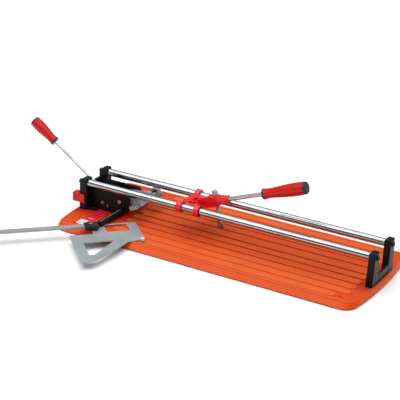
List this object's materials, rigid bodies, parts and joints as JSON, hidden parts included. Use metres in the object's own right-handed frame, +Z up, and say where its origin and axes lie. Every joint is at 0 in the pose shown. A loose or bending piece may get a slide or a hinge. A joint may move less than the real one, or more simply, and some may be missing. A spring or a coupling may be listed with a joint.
{
  "type": "manual tile cutter",
  "caption": "Manual tile cutter: ribbed tray, two chromed guide bars, scoring carriage with lever and wheel, breaker lever and foot, fence and angle stop.",
  "frame": {"origin": "on the ground under the centre of the tray, on the line of the cut", "axes": "+X along the cut from the breaker end to the free end, -Y the side with the angle stop, +Z up"},
  "size_m": [1.1786, 0.6334, 0.2437],
  "materials": {
    "tray_orange": "moulded, semi-gloss orange plastic",
    "black_casting": "black satin paint on die-cast aluminium",
    "black_plastic": "black moulded plastic",
    "red_casting": "red gloss paint on a casting",
    "red_grip": "red moulded grip, satin",
    "chrome_bar": "hard-chromed ground steel bar",
    "rod_steel": "zinc-plated drawn steel",
    "steel_pin": "zinc-plated turned steel",
    "stop_aluminium": "matt anodised aluminium plate",
    "foot_casting": "raw grey die-cast aluminium",
    "rubber": "black rubber",
    "spine_steel": "dark grey painted steel channel",
    "label_red": "printed foil, satin",
    "label_pale": "printed foil, satin",
    "scale_white": "printed rule strip",
    "nylon": "natural nylon",
    "carbide": "ground carbide"
  },
  "bodies": {
    "stand": {"base_tray": "tray_orange", "spine_beam": "spine_steel", "rubber_feet": "rubber", "front_frame": "black_casting", "side_plate_near": "black_casting", "side_plate_far": "black_casting", "rear_support": "black_casting", "guide_bar_near": "chrome_bar", "guide_bar_far": "chrome_bar", "bar_end_screws": "steel_pin", "base_screws": "steel_pin", "fence_bar": "black_casting", "fence_scale": "scale_white", "fence_spacers": "black_plastic", "fence_end_stop": "foot_casting", "fence_tongue": "black_casting", "red_label": "label_red", "pale_label": "label_pale", "storage_clip": "red_grip", "lever_pivot_pin": "steel_pin", "rocker_pivot_pin": "steel_pin", "plate_screws": "steel_pin"},
    "breaker_lever": {"breaker_lever_hub": "black_casting", "breaker_lever_rod": "rod_steel", "breaker_grip": "red_grip", "breaker_grip_collar": "black_plastic", "breaker_grip_cap": "black_plastic", "roller_pin": "steel_pin", "lever_return_spring": "steel_pin"},
    "lever_roller": {"breaker_roller": "steel_pin"},
    "breaker_rocker": {"rocker_arm": "foot_casting", "breaker_foot": "foot_casting", "foot_pads": "rubber"},
    "carriage": {"carriage_frame": "red_casting", "bar_bushings": "black_plastic", "carriage_pivot_pin": "steel_pin"},
    "scoring_lever": {"scoring_arm": "red_casting", "scoring_lever_rod": "rod_steel", "scoring_grip": "red_grip", "scoring_grip_collar": "black_plastic", "scoring_grip_cap": "black_plastic", "wheel_holder": "rod_steel", "holder_knob": "black_plastic", "wheel_axle": "steel_pin"},
    "scoring_wheel": {"scoring_wheel": "carbide"},
    "angle_stop": {"angle_stop_plate": "stop_aluminium", "swivel_head": "black_plastic", "pivot_screw": "steel_pin", "stop_button": "nylon"},
    "ruler": {"ruler": "stop_aluminium"}
  },
  "joints": [
    {"name": "breaker_lever_pivot", "type": "hinge", "parent": "stand", "child": "breaker_lever", "pos_m": [-0.406, 0, 0.043], "axis": [0, 1, 0], "range_deg": [-34, 0], "stiffness_Nm_per_rad": 1.5, "springref_deg": 51.57},
    {"name": "roller_spin", "type": "hinge", "parent": "breaker_lever", "child": "lever_roller", "pos_m": [-0.38114, 0, 0.0354], "axis": [0, 1, 0], "continuous": true},
    {"name": "breaker_rocker_pivot", "type": "hinge", "parent": "stand", "child": "breaker_rocker", "pos_m": [-0.346, 0, 0.06], "axis": [0, 1, 0], "range_deg": [0, 25.5]},
    {"name": "carriage_slide", "type": "slide", "parent": "stand", "child": "carriage", "axis": [1, 0, 0], "range_m": [-0.28, 0.45]},
    {"name": "scoring_lever_pivot", "type": "hinge", "parent": "carriage", "child": "scoring_lever", "pos_m": [-0.101, 0, 0.1], "axis": [0, 1, 0], "range_deg": [-60, 10.5]},
    {"name": "scoring_wheel_spin", "type": "hinge", "parent": "scoring_lever", "child": "scoring_wheel", "pos_m": [-0.02847, 0, 0.04704], "axis": [0, 1, 0], "continuous": true},
    {"name": "angle_stop_swivel", "type": "hinge", "parent": "stand", "child": "angle_stop", "pos_m": [-0.35, -0.188, 0.022], "axis": [0, 0, 1], "range_deg": [0, 45]},
    {"name": "ruler_slide", "type": "slide", "parent": "angle_stop", "child": "ruler", "axis": [-0.7071, -0.7071, 0], "range_m": [0, 0.008]}
  ],
  "couplings": [
    {"joint": "breaker_rocker_pivot", "follows": "breaker_lever_pivot", "ratio": -0.75}
  ]
}
